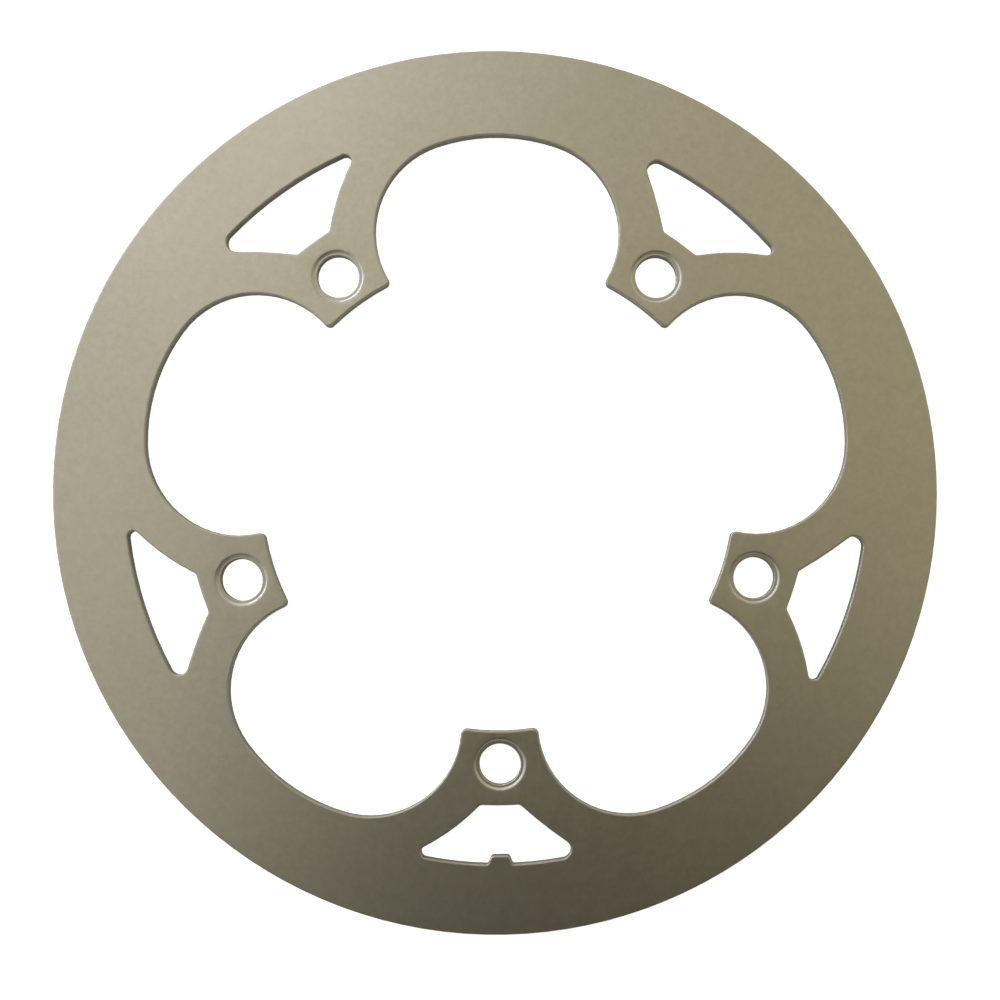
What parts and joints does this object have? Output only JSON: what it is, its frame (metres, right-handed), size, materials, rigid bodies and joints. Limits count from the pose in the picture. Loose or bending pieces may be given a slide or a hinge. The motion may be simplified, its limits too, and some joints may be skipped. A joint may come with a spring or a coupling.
{
  "type": "bicycle chain guard",
  "caption": "Flat round aluminium chain guard with short inward arms, sunk bolt seats and wedge windows, bolted to a crank spider to keep clothing and chain apart.",
  "frame": {"origin": "centre of the bolt circle, on the back face, which lies on the ground plane", "axes": "+Z out of the front face, in which the bolt seats are sunk, along the crank axis; -Y towards the arm whose window has the index tab"},
  "size_m": [0.213, 0.213, 0.003],
  "materials": {
    "anodised_aluminium": "satin anodised, pale champagne grey"
  },
  "bodies": {
    "root": {"guard_plate": "anodised_aluminium"}
  },
  "joints": []
}
